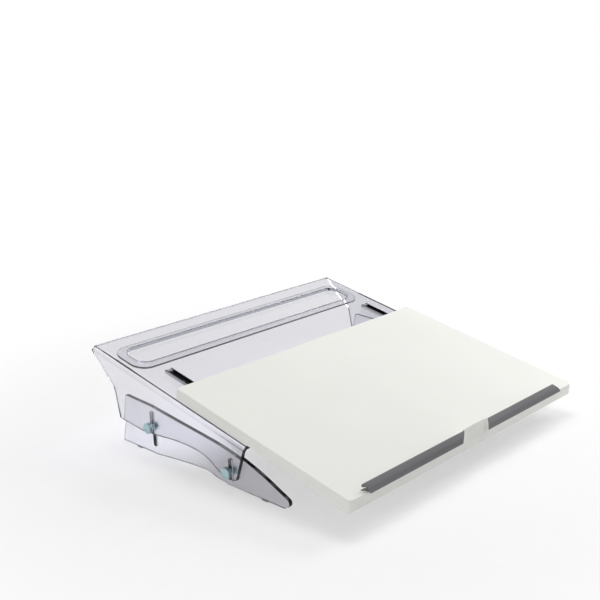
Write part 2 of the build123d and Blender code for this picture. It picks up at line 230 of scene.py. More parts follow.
def ring_solid(surface, loops, rings, zones=None):
    """Closed solid between two faces on a surface. Each ring is the loops moved inwards by its
    inset and down by its depth; neighbouring rings are joined by quads, and the first and last
    ring are closed by filling each zone. Returns points, faces, normals and the edge values.
    The loops turn anticlockwise round the solid and clockwise round its holes."""
    spans = spans_of(loops)
    flat, out = np.vstack(loops), np.vstack([outward(loop) for loop in loops])
    total = len(flat)
    corners = np.concatenate([corner_share(loop) for loop in loops])
    points, normals, rims = [], [], []
    for inset, depth, lean in rings:
        moved = flat - out * np.reshape(inset, (-1, 1))
        depth = np.broadcast_to(depth, total)
        p, e_u, e_v, n = surface(moved, depth)
        points.append(p)
        sideways = out[:, :1] * e_u + out[:, 1:] * e_v
        normals.append(n * math.cos(lean) + sideways * math.sin(lean))
        rims.append(np.full(total, abs(math.sin(lean))))
    faces = []
    i, j = np.concatenate(spans), np.concatenate([np.roll(span, -1) for span in spans])
    for a in np.arange(len(rings) - 1) * total:
        b = a + total
        faces += np.stack((a + i, b + i, b + j, a + j), 1).tolist()
    first = flat - out * np.reshape(rings[0][0], (-1, 1))
    last = (len(rings) - 1) * total
    for zone in zones or [spans]:
        if isinstance(zone, tuple):
            f, r = zone
            quads = np.stack((f[:-1], f[1:], r[1:], r[:-1]), 1)
        else:
            quads = np.concatenate(zone)[fill([first[index] for index in zone])]
        faces += quads.tolist() + (last + quads[:, ::-1]).tolist()
    values = {"rim": np.concatenate(rims), "corner": np.tile(corners, len(rings))}
    return np.vstack(points), faces, np.vstack(normals), values


def put_plate(name, surface, loops, thickness, radius, finish, body, stands_for=(),
              zones=None):
    """Sheet of one thickness with polished round edges."""
    made = ring_solid(surface, loops, sheet_rings(thickness, radius), zones)
    points, faces, normals, values = made
    return put_mesh(name, points, faces, finish, body, normals, values, stands_for)


def turned(profile, axis_points, radius_of=None, steps=48):
    """Closed solid of revolution. profile holds (distance along the axis, radius) rows from one
    pole to the other, and radius_of(distance, radius, angle) may change the radius."""
    origin, along, e_u, e_v = axis_points
    profile = np.array(profile, float)
    a = np.linspace(0, TURN, steps, endpoint=False)
    s, angle = np.meshgrid(profile[:, 0], a, indexing="ij")
    r = np.repeat(profile[:, 1:2], steps, 1)
    if radius_of is not None:
        r = radius_of(s, r, angle)
    ring = np.cos(angle)[..., None] * e_u + np.sin(angle)[..., None] * e_v
    grid = origin + s[..., None] * along + r[..., None] * ring
    inner = grid[1:-1].reshape(-1, 3)
    points = np.vstack((inner, grid[0, :1], grid[-1, :1]))
    rows = len(profile) - 2
    i, j = np.meshgrid(np.arange(rows - 1) * steps, np.arange(steps), indexing="ij")
    k = (j + 1) % steps
    quads = np.stack((i + j, i + k, i + steps + k, i + steps + j), -1).reshape(-1, 4)
    one, two = np.arange(steps), (np.arange(steps) + 1) % steps
    low, high, top = rows * steps, rows * steps + 1, (rows - 1) * steps
    ends = np.vstack((np.stack((two, one, np.full(steps, low)), 1),
                      np.stack((top + one, top + two, np.full(steps, high)), 1)))
    return points, facing_out(points, quads, ends)


def joined(solids):
    """Several (points, faces) laid end to end as one."""
    points, faces, start = [], [], 0
    for p, f in solids:
        points.append(p)
        faces += [[start + i for i in face] for face in f]
        start += len(p)
    return np.vstack(points), faces


# ------------------------------------------------------------------ finishes
class Value:
    """A socket that takes part in sums: + - * / and ** add Math nodes."""

    def __init__(self, graph, socket):
        self.graph = graph
        self.socket = socket

    def sum(self, operation, a, b):
        return self.graph.node("Math", {"operation": operation}, {0: a, 1: b})

    def __add__(self, other):
        return self.sum("ADD", self, other)

    __radd__ = __add__

    def __mul__(self, other):
        return self.sum("MULTIPLY", self, other)

    __rmul__ = __mul__

    def __sub__(self, other):
        return self.sum("SUBTRACT", self, other)

    def __rsub__(self, other):
        return self.sum("SUBTRACT", other, self)

    def __truediv__(self, other):
        return self.sum("DIVIDE", self, other)

    def __pow__(self, other):
        return self.sum("POWER", self, other)


class Graph:
    """The node tree of a material or of the world."""

    def __init__(self, owner):
        owner.use_nodes = True
        self.tree = owner.node_tree
        self.tree.nodes.clear()

    def node(self, kind, settings=None, inputs=None, out=0):
        """Adds a node of the type, sets its settings and then its sockets, and returns one of
        its outputs."""
        node = self.tree.nodes.new("ShaderNode" + kind)
        for key, value in (settings or {}).items():
            setattr(node, key, value)
        for key, value in (inputs or {}).items():
            socket = node.inputs[key]
            if isinstance(value, Value):
                self.tree.links.new(value.socket, socket)
            elif hasattr(value, "__len__") and len(value) == 3 and socket.type == "RGBA":
                socket.default_value = (*value, 1.0)
            else:
                socket.default_value = value
        return Value(self, node.outputs[out])

    def blend(self, share, a, b):
        """Colour that goes from a to b with the share."""
        return self.node("Mix", {"data_type": "RGBA"}, {0: share, 6: a, 7: b}, out=2)

    def place(self, scale=(1, 1, 1)):
        """Object coordinates in metres, stretched by the scale."""
        spot = self.node("TexCoord", out=3)
        return self.node("Mapping", {}, {0: spot, 3: scale})

    def noise(self, scale, detail=3.0, roughness=0.5, stretch=(1, 1, 1)):
        """Cloudy value from 0 to 1, with features of about 1 / scale metres."""
        return self.node("TexNoise", {}, {"Vector": self.place(stretch), "Scale": scale,
                                          "Detail": detail, "Roughness": roughness})

    def attribute(self, name):
        """A value that the piece's mesh carries."""
        return self.node("Attribute", {"attribute_name": name}, out=2)

    def steps(self, value, low, high):
        """0 below low, 1 above high, and smooth between."""
        return self.node("MapRange", {"interpolation_type": "SMOOTHSTEP"},
                         {0: value, 1: low, 2: high, 3: 0.0, 4: 1.0})

    def bump(self, height, distance, strength=1.0):
        """Normal that a height field gives."""
        return self.node("Bump", {}, {"Strength": strength, "Distance": distance,
                                      "Height": height})

    def finish(self, shader, volume=None):
        """Sends the shader to the output."""
        sockets = {"Surface": shader}
        if volume is not None:
            sockets["Volume"] = volume
        output = self.tree.nodes.new("ShaderNodeOutputMaterial")
        for key, value in sockets.items():
            self.tree.links.new(value.socket, output.inputs[key])


def new_graph(name):
    """A new finish of the name, and its graph."""
    material = bpy.data.materials.new("finish_" + name)
    return material, Graph(material)


def clear_sheet(look):
    """Polished clear sheet: faintly uneven gloss, and painted shade on its cut edges: a darker tint that stands in
    for the dark surroundings seen in them.
    Lamps shine through it."""
    material, g = new_graph("clear_sheet")
    # painted shade: the rim value darkens the cut edges' base colour towards the edge shade colour, and also
    # roughens them
    edge = g.attribute("rim") ** 0.7
    cloud = g.noise(38.0, 4.0)
    wave = g.noise(9.0, 2.0)
    shader = g.node("BsdfPrincipled", {}, {
        "Base Color": g.blend(edge, look.clear_tint_and_shade_colour, look.clear_edge_shade_colour),
        "Roughness": g.steps(cloud, 0.35, 0.8) * 0.02 + edge * 0.04 + 0.004,
        "IOR": 1.49,
        "Transmission Weight": 1.0,
        "Normal": g.bump(wave, 0.0006, 0.25),
    })
    thin = g.node("BsdfTransparent", {}, {"Color": look.clear_shadow_colour})
    lamp = g.node("LightPath", out=1)
    g.finish(g.node("MixShader", {}, {0: lamp, 1: shader, 2: thin}),
             g.node("VolumeAbsorption", {}, {"Color": look.clear_depth_colour,
                                             "Density": look.clear_depth}))
    return material


def moulded(name, colour, roughness=0.42, grain=900.0, shift=0.03):
    """Moulded plastic: a fine grain, a slow drift of tone and paler, smoother corners."""
    material, g = new_graph(name)
    drift = g.noise(7.0, 3.0)
    fine = g.noise(grain, 2.0, 0.6)
    corner = g.attribute("corner")
    dark = tuple(c * (1 - shift) for c in colour)
    pale = tuple(min(1.0, c * (1 + shift)) for c in colour)
    tone = g.blend(g.steps(drift, 0.3, 0.7), dark, pale)
    shader = g.node("BsdfPrincipled", {}, {
        "Base Color": g.blend(corner * 0.35, tone, pale),
        "Roughness": fine * 0.12 + (roughness - 0.06) - corner * 0.05,
        "IOR": 1.5,
        "Normal": g.bump(fine, 0.00006, 0.5),
    })
    g.finish(shader)
    return material


def metal(name, colour, roughness=0.3, brushed=(1, 1, 1), bare_colour=None, metallic=1.0):
    """Metal or coated metal: fine streaks along the stretch and, where a bare colour is given,
    bright steel where the mesh's bare value says so and in patches on its sharp corners."""
    material, g = new_graph(name)
    streak = g.noise(420.0, 3.0, 0.6, brushed)
    patch = g.noise(60.0, 3.0)
    tone = g.blend(g.steps(patch, 0.35, 0.75), colour, tuple(c * 0.82 for c in colour))
    sockets = {"Roughness": streak * 0.16 + roughness - 0.08,
               "Normal": g.bump(streak, 0.00004, 0.4)}
    if bare_colour is None:
        sockets.update({"Base Color": tone, "Metallic": metallic})
    else:
        share = g.attribute("corner") * 0.2 + g.attribute("bare") + patch * 0.5
        bare = g.steps(share, 0.65, 0.95)
        sockets.update({"Base Color": g.blend(bare, tone, bare_colour),
                        "Metallic": bare * (1 - metallic) + metallic})
    g.finish(g.node("BsdfPrincipled", {}, sockets))
    return material


def rubber(name, colour):
    """Matt rubber with a dusty mottle."""
    material, g = new_graph(name)
    mottle = g.noise(700.0, 4.0)
    g.finish(g.node("BsdfPrincipled", {}, {
        "Base Color": g.blend(g.steps(mottle, 0.4, 0.8), colour, tuple(c * 1.7 for c in colour)),
        "Roughness": mottle * 0.15 + 0.7,
        "Normal": g.bump(mottle, 0.00008, 0.6),
    }))
    return material


FINISHES = {
    "clear_sheet": clear_sheet,
    "tray_white": lambda look: moulded("tray_white", look.tray_colour, shift=0.012),
    "grey_strip": lambda look: moulded("grey_strip", look.ledge_colour, 0.5, 1500.0, 0.08),
    "dark_steel": lambda look: metal("dark_steel", look.slide_colour, 0.34, (40, 1, 1),
                                     look.bare_steel_colour, 0.6),
    "cage_steel": lambda look: metal("cage_steel", look.bare_steel_colour, 0.35, (40, 1, 1)),
    "ball_steel": lambda look: metal("ball_steel", look.bare_steel_colour, 0.14),
    "zinc": lambda look: metal("zinc", look.zinc_colour, 0.32),
    "rubber": lambda look: rubber("rubber", look.rubber_colour),
}


def finish_of(slot):
    """The material of a slot, made the first time that it is asked for."""
    found = bpy.data.materials.get("finish_" + slot)
    return found or FINISHES[slot](bpy.context.scene.holder_look)


# ------------------------------------------------------------------ settings
def length(name, default, description):
    """A setting in metres."""
    return FloatProperty(name=name, description=description, default=default, min=0.0,
                         subtype="DISTANCE", unit="LENGTH", precision=5)


def tint(name, default, description):
    """A colour setting."""
    return FloatVectorProperty(name=name, description=description, default=default, size=3,
                               subtype="COLOR", min=0.0, max=1.0)


class HolderSizes(bpy.types.PropertyGroup):
    """Sizes of the document holder"""
    tray_width: length("Tray width", 0.508, "Width of the pull-out tray")
    tray_depth: length("Tray depth", 0.321, "Depth of the tray along the slope")
    tray_wall: length("Tray wall", 0.003, "Thickness of the tray's top and skirts")
    tray_edge: length("Tray edge radius", 0.0025, "Roundness of the tray's upper edge")
    tray_corner: length("Tray corner radius", 0.007, "Roundness of the tray's upper corners")
    tray_foot_corner: length("Tray foot radius", 0.0025, "Roundness of the skirt's lower corners")
    front_skirt: length("Front skirt", 0.018, "Depth of the tray's front skirt")
    side_skirt: length("Side skirt", 0.0155, "Depth of the tray's side skirts over the deck")
    rear_lip: length("Rear lip", 0.006, "Depth of the lip on the tray's rear edge")
    deck_width: length("Deck width", 0.520, "Width over the side skirts")
    deck_sheet: length("Deck sheet", 0.006, "Thickness of the clear sheet")
    deck_drop: length("Deck drop", 0.016, "Height of the tray's top over the deck")
    deck_front: length("Deck front", 0.1725, "Front edge of the deck, up the slope")
    deck_rear: length("Deck rear", 0.505, "Rear edge of the deck, up the slope")
    bend: length("Bend radius", 0.009, "Outside radius of the bends")
    polish: length("Polished edge", 0.0009, "Roundness of the clear sheet's cut edges")
    groove_width: length("Groove width", 0.460, "Width of the pen groove")
    groove_radius: length("Groove end radius", 0.018, "Roundness of the groove's ends")
    groove_front: length("Groove front", 0.422, "Front of the pen groove, up the slope")
    groove_rear: length("Groove rear", 0.470, "Rear of the pen groove, up the slope")
    slide_x: length("Slide distance", 0.2145, "Middle of each slide from the centre line")
    slide_width: length("Slide width", 0.0126, "Width of a slide's outer channel")
    slide_height: length("Slide height", 0.0054, "Height of a slide's outer channel")
    runner_width: length("Runner width", 0.0070, "Width of a slide's inner channel")
    ball: length("Ball radius", 0.00085, "Radius of the slide's balls")
    screw_head: length("Thumbscrew radius", 0.008, "Radius of the thumbscrew heads")
    screw_shank: length("Screw radius", 0.0030, "Radius of the thumbscrews' threaded shanks")
    ridges: IntProperty(name="Ridges", description="Ridges round a thumbscrew's head",
                        default=24, min=8, max=60)


class HolderLook(bpy.types.PropertyGroup):
    """Colours of the document holder"""
    # the sheet's own faint lilac tint, darkened further as painted shade for the shadowed and dark things seen
    # through it
    clear_tint_and_shade_colour: tint("Clear sheet", (0.86, 0.855, 0.885), "Tint of the clear sheet's faces")
    # painted shade: darker tint of the clear sheet's cut edges, standing in for dark surroundings seen in them
    clear_edge_shade_colour: tint("Clear edges", (0.50, 0.505, 0.54), "Tint of its cut edges")
    clear_shadow_colour: tint("Clear shadow", (0.82, 0.82, 0.86), "Light that it lets by")
    clear_depth_colour: tint("Clear depth", (0.50, 0.54, 0.66), "Colour of long ways inside it")
    clear_depth: FloatProperty(name="Clear depth density", default=9.0, min=0.0,
                               description="How fast light fades inside the clear sheet")
    tray_colour: tint("Tray", (0.86, 0.865, 0.82), "Warm white of the tray")
    ledge_colour: tint("Ledge strips", (0.175, 0.175, 0.182), "Grey of the ledge strips")
    slide_colour: tint("Slides", (0.018, 0.018, 0.022), "Dark coating of the slides")
    bare_steel_colour: tint("Bare steel", (0.62, 0.63, 0.65), "Bare steel of cages and edges")
    zinc_colour: tint("Fasteners", (0.46, 0.62, 0.66), "Pale zinc of screws and nuts")
    rubber_colour: tint("Rubber", (0.30, 0.30, 0.32), "Stops and foot pads")


class HolderStudio(bpy.types.PropertyGroup):
    """Studio light and camera"""
    key_power: FloatProperty(name="Key light", description="Power of the overhead soft light",
                             default=19.5, min=0.0, subtype="POWER", unit="POWER")
    fill_power: FloatProperty(name="Fill light", description="Power of the soft light, left",
                              default=7.0, min=0.0, subtype="POWER", unit="POWER")
    side_power: FloatProperty(name="Side light", description="Power of the soft light, right",
                              default=15.5, min=0.0, subtype="POWER", unit="POWER")
    sky: FloatProperty(name="Sky", description="Strength of the surroundings on matt surfaces",
                       default=0.36, min=0.0)
    dark_walls: FloatProperty(name="Dark walls", description="Strength of the dim directions",
                              default=0.10, min=0.0, max=1.0)
    gloss: FloatProperty(name="Gloss", description="Strength of the backdrop in reflections",
                         default=0.30, min=0.0, max=1.0)
    floor_lift: FloatProperty(name="Floor lift", description="How far the floor shows as white",
                              default=0.50, min=0.0, max=1.0)
    lens: FloatProperty(name="Lens", description="Focal length in millimetres on a 36 mm frame",
                        default=59.03, min=10.0)


# ------------------------------------------------------------------ clear body
BEND_STEPS = 10
SCREW_HOLE = 0.0033         # radius


def skirt_outline(size):
    """(y, z) of a side skirt's edge from the deck's front corner down, along the arch and up
    to the rear corner: a straight front edge, a toe, a long arch and a cut-away rear."""
    low = -(size.deck_drop + size.deck_sheet)
    front = on_slope(0.0, size.deck_front, low)[1:] - EDGE[1:] * (1, 0)
    rear = on_slope(0.0, size.deck_rear, low)[1:] - EDGE[1:] * (1, 0)
    arch_front, arch_rear = (0.2030, 0.0135), (0.3850, 0.0330)
    toe = rounded((front, (0.1895, 0.0160), arch_front), (0.0, 0.0025, 0.0), 5, False)
    arch = through((arch_front, (0.2140, 0.0150), (0.2290, 0.0225), (0.2450, 0.0315),
                    (0.2680, 0.0368), (0.3080, 0.0382), (0.3450, 0.0355), arch_rear), 8)
    back = rounded((arch_rear, (0.4390, 0.0390), (0.4480, 0.0840), rear),
                   (0.0, 0.003, 0.014, 0.0), 8, False)
    return np.vstack((toe, arch[1:], back[1:]))


def bent_surface(size):
    """Surface function of the bent sheet over its flat pattern (u, t). A flat deck, then an
    arc of the bend's radius less the depth, then an upright skirt."""
    flat_half = size.deck_width / 2 - size.bend

    def surface(uv, depth):
        side, a = np.sign(uv[:, 0]), np.abs(uv[:, 0])
        turn = np.clip((a - flat_half) / size.bend, 0, QUARTER)
        radius = size.bend - depth
        down = np.maximum(a - flat_half - size.bend * QUARTER, 0)
        x = side * (np.minimum(a, flat_half) + radius * np.sin(turn))
        d = -size.deck_drop - (size.bend - radius * np.cos(turn) + down)
        sine, cosine = (side * np.sin(turn))[:, None], np.cos(turn)[:, None]
        normal = sine * ACROSS + cosine * OFF_SLOPE
        e_u = cosine * ACROSS - sine * OFF_SLOPE
        return on_slope(x, uv[:, 1], d), e_u, np.broadcast_to(UP_SLOPE, e_u.shape), normal
    return surface


def skirt_u(size, down):
    """Way over the sheet from the centre line to a place on a skirt: half the flat deck, the
    arc of the bend, and what is left of the way down under the deck's top."""
    return size.deck_width / 2 - size.bend + size.bend * QUARTER + down - size.bend


class HOLDER_OT_deck(bpy.types.Operator):
    """Builds the clear bent body with its pen groove"""
    bl_idname = "holder.deck"
    bl_label = "Clear body"

    def execute(self, context):
        size = context.scene.holder_sizes
        finish = finish_of("clear_sheet")
        middle = (size.groove_front + size.groove_rear) / 2
        groove = oblong(size.groove_width, size.groove_rear - size.groove_front,
                        size.groove_radius)[::-1] + (0, middle)
        border = self.border(size)
        loops = [np.vstack(border), groove, *self.screw_holes(size)]
        put_plate("clear_body", bent_surface(size), loops, size.deck_sheet, size.polish, finish,
                  "body", ["deck_shell"], self.zones(border, loops))

        margin, sheet, edge, glue = 0.012, 0.003, 0.0007, 0.00005
        under = flat_surface(on_slope(0.0, middle, -size.deck_drop - size.deck_sheet - glue),
                             ACROSS, UP_SLOPE)
        plate = oblong(size.groove_width + 2 * margin,
                       size.groove_rear - size.groove_front + 2 * margin,
                       size.groove_radius + margin / 2, 10)
        put_plate("groove_floor_plate", under, [plate], sheet, edge, finish, "body",
                  ["groove_floor"])
        return {"FINISHED"}

    def border(self, size):
        """The flat pattern's edge in four runs: the deck's front, the right skirt, the deck's
        rear and the left skirt. A skirt begins and ends with the points on its bend."""
        flat_half, apart = size.deck_width / 2 - size.bend, 0.0004
        outline = slope_of_side(skirt_outline(size))
        along, down = outline[:, 0], -outline[:, 1] - size.deck_drop
        lowest = int(np.argmax(down))
        turn = np.linspace(0, QUARTER, BEND_STEPS + 1)[1:]
        bend_u, bend_down = flat_half + size.bend * turn, size.bend * (1 - np.cos(turn))
        bend_front = np.interp(bend_down, down[:lowest + 1], along[:lowest + 1])
        bend_rear = np.interp(bend_down, down[:lowest - 1:-1], along[:lowest - 1:-1])
        inside = down > size.bend + apart
        right = np.vstack((np.stack((bend_u, bend_front), 1),
                           np.stack((skirt_u(size, down[inside]), along[inside]), 1),
                           np.stack((bend_u, bend_rear), 1)[::-1]))
        across = np.linspace(-flat_half, flat_half, 41)
        front = np.stack((across, np.full(len(across), size.deck_front)), 1)
        rear = np.stack((across[::-1], np.full(len(across), size.deck_rear)), 1)
        return front, right, rear, right[::-1] * (-1, 1)

    def screw_holes(self, size):
        """The two screw holes of the right skirt, then those of the left one."""
        spots = slope_of_side(np.array(list(SCREW_SPOTS.values())))
        return [circle(SCREW_HOLE)[::-1] + (side * skirt_u(size, -d - size.deck_drop), t)
                for side in (1, -1) for t, d in spots]

    def zones(self, border, loops):
        """The flat pattern's parts: the deck round its groove, each bend as a strip between its
        front and rear points, and each skirt round its two screw holes."""
        front, right, rear, left = spans_of(border)
        _, groove, *holes = spans_of(loops)
        n = BEND_STEPS
        return [
            [np.append(front, rear), groove],
            (np.append(front[-1:], right[:n]), np.append(rear[:1], right[:-n - 1:-1])),
            (np.append(left[-n:], front[:1]), np.append(left[:n][::-1], rear[-1:])),
            [right[n - 1:1 - n], *holes[:2]],
            [left[n - 1:1 - n], *holes[2:]],
        ]


# ------------------------------------------------------------------ legs
LEG_SLOTS = {"front": (0.010, 0.043), "rear": (0.013, 0.067)}   # bottom and top
SLOT_WIDTH = 0.0066
PAD_Y = (0.144, 0.405)
PAD_SIZE, PAD_CORNER, PAD_EDGE = (0.006, 0.012), 0.0015, 0.0003


def leg_outline(foot):
    """(y, z) of a leg's edge, anticlockwise: flat feet with an arch between them, a slanted
    rear, a long top that falls towards the front, and a rounded toe."""
    arch_front, arch_rear = (0.2120, foot), (0.3630, foot)
    top_front, top_rear = (0.1430, 0.0338), (0.3680, 0.0750)
    arch = through((arch_front, (0.2320, 0.0040), (0.2560, 0.0090), (0.2900, 0.0080),
                    (0.3300, 0.0044), arch_rear), 8)
    rear = rounded((arch_rear, (0.4440, foot), (0.4265, 0.0780), top_rear),
                   (0, 0.0015, 0.003, 0), 6, False)
    top = through((top_rear, (0.3180, 0.0685), (0.2620, 0.0615), (0.2220, 0.0560),
                   (0.1880, 0.0485), (0.1620, 0.0405), top_front), 8)
    toe = rounded((top_front, (0.0915, 0.0110), (0.1080, foot), arch_front),
                  (0, 0.006, 0.006, 0), 8, False)
    return np.vstack((arch[:-1], rear[:-1], top[:-1], toe[:-1]))


class HOLDER_OT_legs(bpy.types.Operator):
    """Builds the clear leg panels and their foot pads"""
    bl_idname = "holder.legs"
    bl_label = "Leg panels"

    def execute(self, context):
        size = context.scene.holder_sizes
        for _, name in SIDES:
            low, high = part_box(f"leg_{name}")
            surface = flat_surface((high.x, EDGE[1], 0.0), (0, 1, 0), (0, 0, 1))
            loops = [leg_outline(low.z)]
            for place, (bottom, top) in LEG_SLOTS.items():
                slot = oblong(SLOT_WIDTH, top - bottom, SLOT_WIDTH / 2, 10)[::-1]
                loops.append(slot + (SCREW_SPOTS[place][0], (bottom + top) / 2))
            put_plate(f"leg_panel_{name}", surface, loops, high.x - low.x, size.polish,
                      finish_of("clear_sheet"), f"leg_{name}", [f"leg_{name}"])
            pads = []
            for y in PAD_Y:
                top = flat_surface(((low.x + high.x) / 2, EDGE[1] + y, low.z), (1, 0, 0), (0, 1, 0))
                pads.append(ring_solid(top, [oblong(*PAD_SIZE, PAD_CORNER, 5)],
                                       sheet_rings(low.z, PAD_EDGE, 2))[:2])
            points, faces = joined(pads)
            put_mesh(f"foot_pad_pair_{name}", points, faces, finish_of("rubber"), f"leg_{name}",
                     stands_for=[f"foot_pads_{name}"])
        return {"FINISHED"}


# ------------------------------------------------------------------ tray
TRAY_FRONT = -0.003         # t of its front face
TAPER = (0.016, 0.062)      # t where its side skirts start and end to grow shallower


def skirt_depth(size, t):
    """Depth of the tray's skirt at a place up the slope: full at the front, tapering along the
    sides, and a short lip at the rear."""
    lip_start, lip_run = size.tray_depth - 0.0065, 0.002
    taper = np.clip((t - TAPER[0]) / (TAPER[1] - TAPER[0]), 0, 1)
    depth = size.front_skirt + (size.side_skirt - size.front_skirt) * taper
    rear = np.clip((t - lip_start) / lip_run, 0, 1)
    return depth + (size.rear_lip - depth) * rear


# the finger grip and the strips beside it, from above: where each ends at its foot and nose
FOOT_T, NOSE_T = -0.0049, 0.0039
GRIP_ENDS = {-1: (-0.0300, -0.0185), 1: (0.0290, 0.0360)}
STRIP_OUTER = {-1: (-0.2170, -0.2280), 1: (0.2180, 0.2080)}
STRIP_GAP = 0.0003
NOTCH = {"radius": 0.0024, "x": -0.2225, "t": 0.0004}
STRIP_FACE = ((-0.0049, -0.0016), (-0.0045, 0.0), (-0.0031, 0.0027), (-0.0011, 0.0049),
              (0.0013, 0.0069), (0.0039, 0.0089))


def slanted_end(ends, t):
    """x of an end that runs straight from the foot to the nose, and squarely behind it."""
    share = np.clip((t - FOOT_T) / (NOSE_T - FOOT_T), 0, 1)
    return ends[0] + (ends[1] - ends[0]) * share


def carried(section, x):
    """Closed solid: the section over (t, d), carried through rows of x, with filled ends."""
    n, m = x.shape[0], section.shape[-2]
    shape = (n, m)
    t, d = (np.broadcast_to(section[..., k], shape) for k in (0, 1))
    points = on_slope(x, t, d).reshape(-1, 3)
    i, j = np.meshgrid(np.arange(n - 1) * m, np.arange(m), indexing="ij")
    k = (j + 1) % m
    quads = np.stack((i + j, i + k, i + m + k, i + m + j), -1).reshape(-1, 4)
    caps = fill([np.stack((t[0], d[0]), 1)])
    caps = np.vstack((caps, caps[:, ::-1] + (n - 1) * m))
    return points, facing_out(points, quads, caps)


class HOLDER_OT_tray(bpy.types.Operator):
    """Builds the pull-out tray with its finger grip"""
    bl_idname = "holder.tray"
    bl_label = "Pull-out tray"

    def execute(self, context):
        size = context.scene.holder_sizes
        finish = finish_of("tray_white")
        loop, pull = self.outline(size)
        depth = skirt_depth(size, loop[:, 1])
        wall, edge, rim = size.tray_wall, size.tray_edge, 0.0009
        a = np.linspace(0, QUARTER, 6)
        rings = [(edge * (1 - math.sin(v)), edge * (1 - math.cos(v)), v) for v in a]
        rings += [(rim * (1 - math.cos(v)), depth - rim * (1 - math.sin(v)), QUARTER + v)
                  for v in a[::2]]
        rings += [(wall - rim * (1 - math.sin(v)), depth - rim * (1 - math.cos(v)),
                   math.pi + v) for v in a[::2]]
        rings += [(wall + rim * (1 - math.cos(v)), wall + rim * (1 - math.sin(v)),
                   3 * QUARTER - v) for v in a[::2]]
        flat = flat_surface(EDGE, ACROSS, UP_SLOPE)
        shrink = size.tray_corner - size.tray_foot_corner

        def surface(uv, depth):
            share = np.clip(depth / size.front_skirt, 0, 1)[:, None]
            return flat(uv + pull * share * shrink, depth)

        points, faces, normals, values = ring_solid(surface, [loop], rings)
        put_mesh("tray_top", points, faces, finish, "tray", normals, values,
                 ["tray_panel"])
        self.grip(size, finish)
        return {"FINISHED"}

    def outline(self, size):
        """The tray's edge from above, with a notch for the grip, and for each point the way
        that it moves, per metre, as the corners grow sharper towards the skirt's foot."""
        half, front, rear = size.tray_width / 2, TRAY_FRONT, TRAY_FRONT + size.tray_depth
        notch, lap, mouth, inner, near = 0.0060, 0.0030, 0.0034, 0.0010, 1e-6
        left, right = GRIP_ENDS[-1], GRIP_ENDS[1]
        loop = rounded(((-half, front), (left[0] + lap, front), (left[1] + lap, notch),
                        (right[1] - lap, notch), (right[0] - lap, front), (half, front),
                        (half, rear), (-half, rear)),
                       (size.tray_corner, mouth, inner, inner, mouth, size.tray_corner,
                        size.tray_corner, size.tray_corner), 8)
        out = outward(loop)
        reach = size.tray_corner + near
        corner = (np.abs(loop[:, 0]) > half - reach) & ((loop[:, 1] < front + reach)
                                                        | (loop[:, 1] > rear - reach))
        middle = (front + rear) / 2
        square = np.stack((np.sign(loop[:, 0]), np.sign(loop[:, 1] - middle)), 1)
        pull = (square - out) * corner[:, None]
        return self.denser(loop, 0.012, pull)

    def denser(self, loop, spacing, carried_along):
        """The closed loop, and what it carries along, with extra points on its long runs."""
        ahead = np.roll(loop, -1, 0)
        counts = np.maximum(1, np.ceil(np.linalg.norm(ahead - loop, axis=1) / spacing)).astype(int)
        which = np.repeat(np.arange(len(loop)), counts)
        share = np.concatenate([np.arange(c) / c for c in counts])[:, None]
        own = share == 0
        return loop[which] * (1 - share) + ahead[which] * share, carried_along[which] * own

    def grip(self, size, finish):
        """The steep face between the ledge strips, from the foot of the skirt to above the
        tray. Towards its ends it curves forward to meet the strips, and its top is arched."""
        foot = -size.front_skirt
        face = np.vstack((
            np.linspace((TRAY_FRONT, foot), (-0.0019, -0.0080), 12, endpoint=False),
            through(((-0.0019, -0.0080), (-0.0007, -0.0035), (0.0008, 0.0005), (0.0025, 0.0050),
                     (0.0044, 0.0092)), 6)))
        nose = rounded(((0.0044, 0.0092), (0.0053, 0.0106), (0.0070, 0.0098), (0.0070, 0.0076)),
                       (0, 0.0007, 0.0009, 0), 4, False)[1:]
        back = np.array(((0.0070, 0.0002), (0.0100, 0.0002), (0.0100, -0.0029), (0.0040, -0.0029),
                         (0.0, foot)))
        section = np.vstack((face, nose, back))
        share = np.linspace(-1, 1, 65)[:, None]
        t, d = section[None, :, 0], section[None, :, 1]
        fillet = np.clip((np.abs(share) - 0.70) / 0.30, 0, 1)
        fillet = 1 - np.sqrt(1 - 0.999 * fillet ** 2)
        ahead = np.interp(d, (foot, -0.0060, -0.0016, 0.0, 0.0049, 0.0089),
                          (-0.00305, -0.00305, -0.0042, -0.0040, -0.0011, 0.0039))
        on_face = np.arange(len(section)) < len(face)
        moved = t + (np.minimum(ahead, t) - t) * fillet * on_face
        arch = 0.0013 * (1 - share ** 2) * np.clip((d - 0.0050) / 0.004, 0, 1)
        ends = [slanted_end(GRIP_ENDS[side], moved) for side in (-1, 1)]
        x = ends[0] + (ends[1] - ends[0]) * (share + 1) / 2
        d = d + arch
        points, faces = carried(np.stack(np.broadcast_arrays(moved, d), -1), x)
        zero = np.zeros(len(points))
        put_mesh("finger_grip", points, faces, finish, "tray",
                 values={"corner": zero, "rim": zero})


